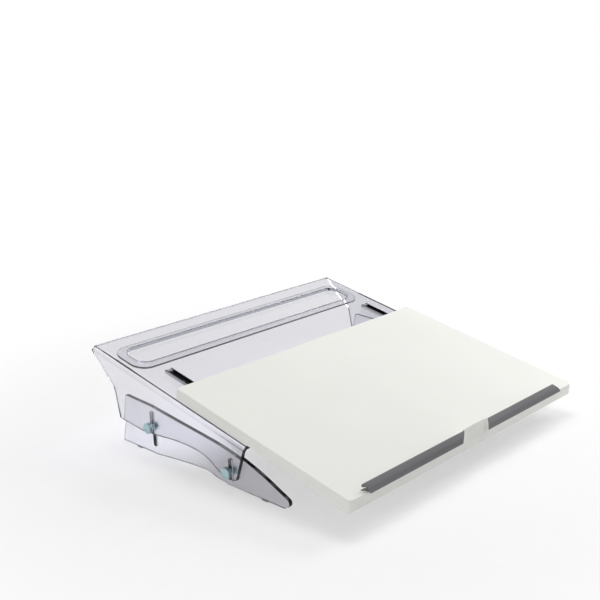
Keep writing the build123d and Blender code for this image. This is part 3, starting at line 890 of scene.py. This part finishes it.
# ------------------------------------------------------------------ ledge strips
class HOLDER_OT_ledges(bpy.types.Operator):
    """Builds the grey ledge strips along the tray's front edge"""
    bl_idname = "holder.ledges"
    bl_label = "Ledge strips"

    def execute(self, context):
        section = np.vstack((
            through(STRIP_FACE, 8),
            rounded(((0.0039, 0.0089), (0.0050, 0.0096), (0.0055, 0.0087), (0.0048, 0.0079)),
                    (0, 0.0005, 0.0004, 0), 4, False)[1:],
            through(((0.0048, 0.0079), (0.0034, 0.0065), (0.0016, 0.0051)), 5)[1:],
            rounded(((0.0016, 0.0051), (0.0016, 0.0010), (0.0056, 0.0010), (0.0056, 0.0001),
                     (0.0002, 0.0001), (0.0002, 0.0038)),
                    (0, 0.0008, 0.0003, 0.0002, 0.0002, 0), 3, False)[1:],
            through(((0.0002, 0.0038), (-0.0016, 0.0017), (-0.0032, -0.0005), (-0.0038, -0.0017)),
                    4)[1:],
            ((-0.0044, -0.0019),)))
        for side, name in SIDES:
            self.strip(side, name, section)
        return {"FINISHED"}

    def strip(self, side, name, section):
        """The section carried between two slanted ends. The outer end has a rounded nose, and
        on the left a round notch, cut square to the tray."""
        t = section[:, 0]
        inner = slanted_end(GRIP_ENDS[side], t) + side * STRIP_GAP
        outer = slanted_end(STRIP_OUTER[side], t)
        radius = 0.0030
        past = np.clip((t - (0.0055 - radius)) / radius, 0, 1)
        outer = outer - side * radius * (1 - np.sqrt(1 - 0.999 * past ** 2))
        if side < 0:
            across = 1 - ((t - NOTCH["t"]) / NOTCH["radius"]) ** 2
            cut = NOTCH["x"] + NOTCH["radius"] * np.sqrt(np.maximum(across, 0))
            outer = np.where(across > 0, np.maximum(outer, cut), outer)
        share = np.linspace(0, 1, 81)[:, None]
        points, faces = carried(section, inner + (outer - inner) * share)
        values = {"corner": np.tile(corner_share(section), len(share)),
                  "rim": np.zeros(len(points))}
        put_mesh(f"ledge_strip_{name}", points, faces, finish_of("grey_strip"), "tray",
                 values=values, stands_for=[f"ledge_{name}"])


# ------------------------------------------------------------------ slides
# (start, end) of each piece, up the slope, with the tray pulled out
CHANNEL_T, RUNNER_T, CAGE_T = (0.1755, 0.3810), (0.0844, 0.2804), (0.1780, 0.2775)
BALL_PITCH, BALL_X, BALL_HEIGHT = 0.022, 0.00445, 0.0032
BARE_HEIGHT = 0.0052        # up to here, the channels' outer walls are bare steel


def mirrored(half):
    """A whole outline from its right half, which runs from the bottom middle to the top."""
    return np.vstack((half, half[-2:0:-1] * (-1, 1)))


class HOLDER_OT_slides(bpy.types.Operator):
    """Builds the two ball slides: outer channel, ball cage with balls, and runner"""
    bl_idname = "holder.slides"
    bl_label = "Ball slides"

    def execute(self, context):
        size = context.scene.holder_sizes
        for side, name in SIDES:
            x = side * size.slide_x
            self.bar(size, x, CHANNEL_T, self.channel(size), f"slide_channel_{name}",
                     "dark_steel", "body", f"rail_{name}", BARE_HEIGHT)
            self.bar(size, x, RUNNER_T, self.hood(size), f"slide_runner_{name}", "dark_steel",
                     "tray", f"runner_{name}")
            self.bar(size, x, CAGE_T, self.cage(), f"ball_cage_strip_{name}", "cage_steel",
                     f"ball_cage_{name}", f"cage_{name}")
            self.balls(size, x, name)
        return {"FINISHED"}

    def bar(self, size, x, span, outline, name, slot, body, node, bare_height=0.0):
        """One outline, carried up the slope over the span. Its outer flanks are bare metal up
        to the height."""
        edge, flank = 0.00015, 0.0002
        surface = flat_surface(on_slope(x, span[0], -size.deck_drop), ACROSS, OFF_SLOPE)
        rings = sheet_rings(span[1] - span[0], edge, 2)
        points, faces, _, values = ring_solid(surface, [outline], rings)
        reach = np.abs(outline[:, 0])
        bare = (reach > reach.max() - flank) & (outline[:, 1] < bare_height)
        values["bare"] = np.tile(bare.astype(float), len(rings))
        put_mesh(name, points, faces, finish_of(slot), body, None, values, [node])

    def channel(self, size):
        """Outer channel, open upwards, with lips turned in over its sides."""
        w, top, wall, lip = size.slide_width / 2, size.slide_height, 0.0009, 0.0008
        inner = w - wall
        half = rounded(((0, 0), (w, 0), (w, top), (inner - lip, top), (inner - lip, top - 0.0007),
                        (inner, top - 0.0007), (inner, wall), (0, wall)),
                       (0, 0.0006, 0.0007, 0.0003, 0.0002, 0.0002, 0.0004, 0), 3, False)
        return mirrored(half)

    def hood(self, size):
        """Inner channel, open downwards."""
        w, wall, low, top = size.runner_width / 2, 0.0010, 0.0021, 0.0052
        half = rounded(((0, top - wall), (w - wall, top - wall), (w - wall, low), (w, low),
                        (w, top), (0, top)), (0, 0.0003, 0.0002, 0.0002, 0.0008, 0), 3, False)
        return mirrored(half)

    def cage(self):
        """Thin strip, bent up at both sides to hold the balls."""
        b, s, web, high = BALL_X, 0.0003, (0.0012, 0.0017), 0.0044
        half = rounded(((0, web[0]), (b + s, web[0]), (b + s, high), (b - s, high),
                        (b - s, web[1]), (0, web[1])),
                       (0, 0.0005, 0.0002, 0.0002, 0.0002, 0), 3, False)
        return mirrored(half)

    def balls(self, size, x, name):
        """Two rows of five balls."""
        middle = sum(CAGE_T) / 2
        arc = np.linspace(0, math.pi, 13)
        ball = np.stack((-size.ball * np.cos(arc), size.ball * np.sin(arc)), 1)
        solids = [turned(ball, (on_slope(x + edge * BALL_X, middle + BALL_PITCH * row,
                                         BALL_HEIGHT - size.deck_drop),
                                ACROSS, UP_SLOPE, OFF_SLOPE), steps=20)
                  for edge in (-1, 1) for row in range(-2, 3)]
        points, faces = joined(solids)
        put_mesh(f"ball_rows_{name}", points, faces, finish_of("ball_steel"),
                 f"ball_cage_{name}", stands_for=[f"balls_{name}"])


# ------------------------------------------------------------------ thumbscrews
HEAD_LENGTH = 0.007
THREAD_PITCH, THREAD_DEPTH, RIDGE_HEIGHT = 0.001, 0.0003, 0.0006
NUT_HALF, NUT_LENGTH = 0.005, 0.005                         # half its width over the flats
NUT_CORNER, NUT_FACE, NUT_MOUTH = 0.0058, 0.0048, 0.0032    # radii


def side_axis(x, y, z, along):
    """Axis of a turned piece on an upright side: its start, its way, and two ways square to it."""
    back, up = np.array((0, 1.0, 0)), np.array((0, 0, 1.0))
    return np.array((x, EDGE[1] + y, z)), along * ACROSS, back, up


class HOLDER_OT_thumbscrews(bpy.types.Operator):
    """Builds the four thumbscrews and their nuts"""
    bl_idname = "holder.thumbscrews"
    bl_label = "Thumbscrews and nuts"

    def execute(self, context):
        size = context.scene.holder_sizes
        zinc = finish_of("zinc")
        nuts = []
        for side, name in SIDES:
            for place, (y, z) in SCREW_SPOTS.items():
                node = f"thumbscrew_{place}_{name}"
                low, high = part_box(node)
                tip, face = (low.x, high.x) if side > 0 else (high.x, low.x)
                reach = abs(face - tip)
                points, faces = turned(self.profile(size, reach), side_axis(tip, y, z, side),
                                       self.shape(size, reach), 96)
                put_mesh(f"thumbscrew_{place}_{name}_turned", points, faces, zinc, node,
                         stands_for=[node])
                nuts.append(self.nut(side, y, z))
        points, faces = joined(nuts)
        put_mesh("nuts", points, faces, zinc, "body", stands_for=["clamp_nuts"])
        return {"FINISHED"}

    def profile(self, size, reach):
        """(distance from the tip, radius): a chamfered tip, the threaded shank, and a head with
        a shoulder, rounded rims and a dished face."""
        shank, head, base = size.screw_shank, size.screw_head, reach - HEAD_LENGTH
        thread = np.linspace(0.0008, base - 0.0005, 90)
        return np.vstack((
            ((0.0, 0.0), (0.0, 0.0022)),
            np.stack((thread, np.full(len(thread), shank)), 1),
            ((base, shank), (base, 0.0062), (base + 0.0006, 0.0064),
             (base + 0.0008, head - 0.0008), (base + 0.0013, head - 0.0002),
             (base + 0.0018, head), (base + 0.0040, head), (reach - 0.0010, head),
             (reach - 0.0004, head - 0.0003), (reach, head - 0.0011), (reach, 0.0054),
             (reach - 0.0006, 0.0049), (reach - 0.0008, 0.0020), (reach - 0.0008, 0.0))))

    def shape(self, size, reach):
        """The radius less a helical groove on the shank, and less the valleys between the
        ridges round the head."""
        base = reach - HEAD_LENGTH

        def radius(s, r, angle):
            on_shank = (s > 0.0005) & (s < base - 0.0003)
            wave = 0.5 + 0.5 * np.cos(TURN * s / THREAD_PITCH - angle)
            on_rim = np.clip((r - (size.screw_head - 0.0009)) / 0.0008, 0, 1)
            valley = 0.5 - 0.5 * np.cos(size.ridges * angle)
            return r - THREAD_DEPTH * wave * on_shank - RIDGE_HEIGHT * valley ** 0.6 * on_rim
        return radius

    def nut(self, side, y, z):
        """Hexagon nut: the radius is half the width over the flats, divided by the cosine of
        the angle from the nearest flat's middle, cut by a cone at both rims."""
        clearance, rim = 0.0003, 0.0006
        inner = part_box("leg_right")[0].x - clearance
        rows = [(0.0, 0.0), (0.0, NUT_MOUTH), (0.0, NUT_FACE), (rim, NUT_CORNER),
                (NUT_LENGTH / 2, NUT_CORNER), (NUT_LENGTH - rim, NUT_CORNER),
                (NUT_LENGTH, NUT_FACE), (NUT_LENGTH, NUT_MOUTH), (NUT_LENGTH, 0.0)]

        def radius(s, r, angle):
            return np.minimum(r, NUT_HALF / np.cos((angle % (TURN / 6)) - TURN / 12))
        return turned(rows, side_axis(side * inner, y, z, -side), radius, 72)


# ------------------------------------------------------------------ carried nodes
class HOLDER_OT_small_parts(bpy.types.Operator):
    """Gives the remaining small parts their finishes"""
    bl_idname = "holder.small_parts"
    bl_label = "Small parts"

    def execute(self, context):
        slots = {s["node"]: s["material_slot"] for s in frame["record"]["subparts"]}
        for name, node in frame["nodes"].items():
            if not node.hide_render:
                node.data.materials.clear()
                node.data.materials.append(finish_of(slots[name]))
        return {"FINISHED"}


# ------------------------------------------------------------------ studio
def add_lamp(name, power, size, spot, aim):
    """A square soft light at the spot, pointed at the aim."""
    lamp = bpy.data.lights.new(name, "AREA")
    lamp.energy, lamp.shape, lamp.size = power, "SQUARE", size
    holder = bpy.data.objects.new(name, lamp)
    bpy.context.scene.collection.objects.link(holder)
    away = Vector(spot) - Vector(aim)
    turn = away.to_track_quat("Z", "Y").to_matrix().to_4x4()
    holder.matrix_world = Matrix.Translation(spot) @ turn


class HOLDER_OT_stage(bpy.types.Operator):
    """Builds the floor, the studio light and the camera"""
    bl_idname = "holder.stage"
    bl_label = "Stage"

    def execute(self, context):
        studio = context.scene.holder_studio
        self.floor(studio)
        self.surroundings(studio)
        middle, right = (0, 0, 0.05), (0.1, 0, 0.05)
        add_lamp("key", studio.key_power, 1.1, (0.35, 0.35, 2.2), middle)
        add_lamp("side", studio.side_power, 0.8, (1.5, -0.35, 1.2), right)
        add_lamp("fill", studio.fill_power, 1.0, (-2.0, -0.2, 0.55), middle)
        self.camera(studio)
        context.scene.view_settings.view_transform = "Standard"
        return {"FINISHED"}

    def floor(self, studio):
        """A square grid of quads at desk height. Where the camera, a reflection or the clear
        sheet sees it, it is lifted towards white, and far off it is plain white."""
        rows, reach = 9, 4.0
        side = np.linspace(-reach, reach, rows)
        x, y = np.meshgrid(side, side, indexing="ij")
        points = np.stack((x, y, np.zeros_like(x)), -1).reshape(-1, 3)
        i, j = np.meshgrid(np.arange(rows - 1) * rows, np.arange(rows - 1), indexing="ij")
        k = i + j
        faces = np.stack((k, k + rows, k + rows + 1, k + 1), -1).reshape(-1, 4)
        mesh = bpy.data.meshes.new("floor")
        mesh.from_pydata(points.tolist(), [], faces.tolist())
        floor = bpy.data.objects.new("floor", mesh)
        bpy.context.scene.collection.objects.link(floor)
        material, g = new_graph("floor_white")
        spot = g.node("TexCoord", out=3)
        distance = g.node("VectorMath", {"operation": "LENGTH"}, {0: spot}, out=1)
        far = g.steps(distance, 0.38, 0.80)
        soft = g.noise(30.0, 3.0)
        paint = g.blend(g.steps(soft, 0.2, 0.8), (0.935, 0.935, 0.945), (0.955, 0.955, 0.96))
        painted = g.node("BsdfPrincipled", {}, {
            "Base Color": paint, "Roughness": soft * 0.1 + 0.5, "Specular IOR Level": 0.2})
        white = g.node("Emission", {}, {"Color": (1, 1, 1), "Strength": 1.0})
        seen, through_sheet, _ = self.seen(g)
        near = (1 - through_sheet * 0.5) * studio.floor_lift
        lift = (far * (1 - near) + near) * seen
        g.finish(g.node("MixShader", {}, {0: lift, 1: painted, 2: white}))
        mesh.materials.append(material)

    def seen(self, g):
        """Three values: 1 for rays from the camera, from a reflection or through clear sheet,
        1 for rays through clear sheet alone, and 1 for rays from the camera alone."""
        path = g.tree.nodes.new("ShaderNodeLightPath")
        kinds = ("Is Camera Ray", "Is Glossy Ray", "Is Transmission Ray")
        camera, glossy, through_sheet = (Value(g, path.outputs[kind]) for kind in kinds)
        most = g.node("Math", {"operation": "MAXIMUM"}, {0: glossy, 1: through_sheet})
        most = g.node("Math", {"operation": "MAXIMUM"}, {0: camera, 1: most})
        return most, through_sheet, camera

    def surroundings(self, studio):
        """White for the camera and a gentle sky for matt surfaces. Gloss and clear sheet see a
        backdrop behind the object, which is dimmer in gloss, a bright panel overhead and dark
        walls between."""
        world = bpy.data.worlds.new("studio")
        bpy.context.scene.world = world
        g = Graph(world)
        way = g.node("TexCoord", out=0)
        split = g.tree.nodes.new("ShaderNodeSeparateXYZ")
        g.tree.links.new(way.socket, split.inputs[0])
        x, y, z = (Value(g, o) for o in split.outputs)
        ahead = x * 0.70 + y * 0.71
        backdrop = g.steps(ahead, 0.20, 0.62)
        overhead = g.steps(z, 0.50, 0.80) * 0.9
        bright = g.node("Math", {"operation": "MAXIMUM"}, {0: backdrop, 1: overhead})
        seen, through_sheet, camera = self.seen(g)
        shiny = seen - camera
        dim = studio.dark_walls
        behind = 1 - (1 - through_sheet) * backdrop * (1 - studio.gloss)
        level = (bright * (1 - dim) + dim) * behind
        level = camera + shiny * level + (1 - seen) * studio.sky
        light = g.node("Background", {}, {"Color": (1, 1, 1), "Strength": level})
        output = g.tree.nodes.new("ShaderNodeOutputWorld")
        g.tree.links.new(light.socket, output.inputs["Surface"])

    def camera(self, studio):
        """The photograph's place and angle, worked out from the tray's edges."""
        right = Vector((0.69512654, -0.71808681, -0.03391787))
        up = Vector((0.21430602, 0.1619561, 0.96324615))
        back = right.cross(up)
        lens = bpy.data.cameras.new("camera")
        lens.sensor_width, lens.lens = 36.0, studio.lens
        lens.clip_start, lens.clip_end = 0.05, 30.0
        camera = bpy.data.objects.new("camera", lens)
        bpy.context.scene.collection.objects.link(camera)
        turn = Matrix((right, up, back)).transposed().to_4x4()
        camera.matrix_world = Matrix.Translation((-1.0277, -0.9429, 0.5799)) @ turn
        bpy.context.scene.camera = camera


# ------------------------------------------------------------------ panel
STEPS = ("deck", "legs", "tray", "ledges", "slides", "thumbscrews", "small_parts", "stage")


class HOLDER_PT_panel(bpy.types.Panel):
    """Lists the building steps and the settings"""
    bl_idname = "HOLDER_PT_panel"
    bl_label = "Document Holder"
    bl_space_type = "VIEW_3D"
    bl_region_type = "UI"
    bl_category = "Document Holder"

    def draw(self, context):
        for step in STEPS:
            self.layout.operator(f"holder.{step}")
        for group in (context.scene.holder_sizes, context.scene.holder_look,
                      context.scene.holder_studio):
            box = self.layout.box()
            for key in group.__annotations__:
                box.prop(group, key)


CLASSES = (HolderSizes, HolderLook, HolderStudio, HOLDER_OT_deck, HOLDER_OT_legs,
           HOLDER_OT_tray, HOLDER_OT_ledges, HOLDER_OT_slides, HOLDER_OT_thumbscrews,
           HOLDER_OT_small_parts, HOLDER_OT_stage, HOLDER_PT_panel)


def register():
    for cls in CLASSES:
        bpy.utils.register_class(cls)
    bpy.types.Scene.holder_sizes = PointerProperty(type=HolderSizes)
    bpy.types.Scene.holder_look = PointerProperty(type=HolderLook)
    bpy.types.Scene.holder_studio = PointerProperty(type=HolderStudio)


def unregister():
    del bpy.types.Scene.holder_sizes
    del bpy.types.Scene.holder_look
    del bpy.types.Scene.holder_studio
    for cls in reversed(CLASSES):
        bpy.utils.unregister_class(cls)


def main():
    register()
    for step in STEPS:
        getattr(bpy.ops.holder, step)()


if __name__ == "__main__":
    main()
